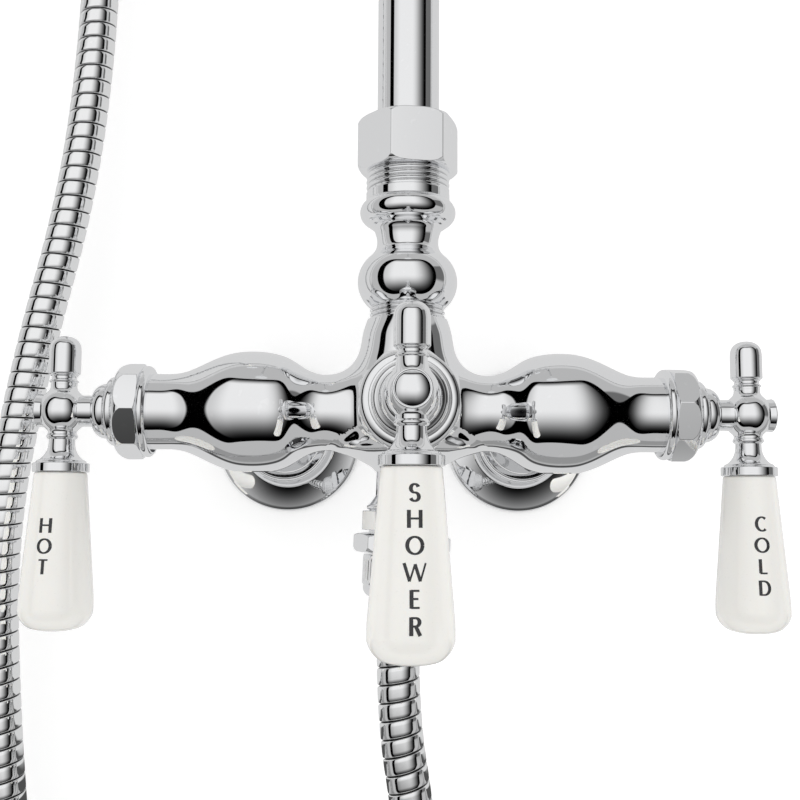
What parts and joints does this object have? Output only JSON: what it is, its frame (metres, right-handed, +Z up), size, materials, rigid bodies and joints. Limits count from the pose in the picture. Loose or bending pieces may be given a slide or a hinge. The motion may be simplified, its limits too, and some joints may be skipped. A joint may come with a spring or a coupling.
{
  "type": "exposed shower system",
  "caption": "Exposed wall shower: twin bulb-armed valve with porcelain levers, front diverter lever, riser with arm and head, hand shower on a metal hose.",
  "frame": {"origin": "on the wall plane, midway between the axes of the two supply inlets", "axes": "+X to the right seen from the front, +Y into the wall, +Z up"},
  "size_m": [0.2658, 0.3928, 1.0696],
  "materials": {
    "chrome": "polished",
    "hose_metal": "polished rolled strip",
    "brass": "machined",
    "porcelain": "glossy glaze",
    "ceramic": "lapped",
    "packing": "moulded",
    "spray": "drilled plate",
    "rubber": "matt"
  },
  "bodies": {
    "wall_set": {"arm_ball": "chrome", "arm_coupling": "chrome", "cold_bonnet_nut": "chrome", "cold_cartridge": "brass", "cold_fixed_disc": "ceramic", "cold_packing": "packing", "cold_seat_seal": "rubber", "cold_union_nut": "chrome", "cold_union_tail": "brass", "cold_union_washer": "rubber", "cold_wall_flange": "chrome", "cradle": "chrome", "cradle_screw": "chrome", "diverter_bonnet_nut": "chrome", "diverter_cartridge": "brass", "diverter_fixed_disc": "ceramic", "diverter_packing": "packing", "diverter_seat_seal": "rubber", "hand_grip": "porcelain", "hand_shower_body": "chrome", "hand_spray_face": "spray", "hose": "hose_metal", "hose_washer": "rubber", "hot_bonnet_nut": "chrome", "hot_cartridge": "brass", "hot_fixed_disc": "ceramic", "hot_packing": "packing", "hot_seat_seal": "rubber", "hot_union_nut": "chrome", "hot_union_tail": "brass", "hot_union_washer": "rubber", "hot_wall_flange": "chrome", "lower_hose_nut": "chrome", "outlet_adaptor": "chrome", "outlet_coupling_nut": "chrome", "riser_adaptor": "chrome", "riser_ferrule": "brass", "riser_tube": "chrome", "riser_union_nut": "chrome", "shower_arm": "chrome", "upper_hose_nut": "chrome", "valve_body": "chrome", "wall_brace": "chrome"},
    "hot_lever": {"hot_turning_disc": "ceramic", "hot_stem": "brass", "hot_lever_hub": "chrome", "hot_porcelain": "porcelain", "hot_screw_button": "chrome"},
    "cold_lever": {"cold_turning_disc": "ceramic", "cold_stem": "brass", "cold_lever_hub": "chrome", "cold_porcelain": "porcelain", "cold_screw_button": "chrome"},
    "diverter_lever": {"diverter_turning_disc": "ceramic", "diverter_stem": "brass", "diverter_lever_hub": "chrome", "diverter_porcelain": "porcelain", "diverter_screw_button": "chrome"},
    "shower_head": {"head_shell": "chrome", "head_spray_face": "spray"}
  },
  "joints": [
    {"name": "hot_turn", "type": "hinge", "parent": "wall_set", "child": "hot_lever", "pos_m": [-0.108, -0.065, 0.0045], "axis": [-1, 0, 0], "range_deg": [0, 90]},
    {"name": "cold_turn", "type": "hinge", "parent": "wall_set", "child": "cold_lever", "pos_m": [0.108, -0.065, 0.0045], "axis": [-1, 0, 0], "range_deg": [0, 90]},
    {"name": "diverter_turn", "type": "hinge", "parent": "wall_set", "child": "diverter_lever", "pos_m": [0, -0.1266, 0.0045], "axis": [0, 1, 0], "range_deg": [0, 90]},
    {"name": "head_tilt", "type": "hinge", "parent": "wall_set", "child": "shower_head", "pos_m": [0, -0.32213, 0.57522], "axis": [1, 0, 0], "range_deg": [-20, 20]}
  ]
}
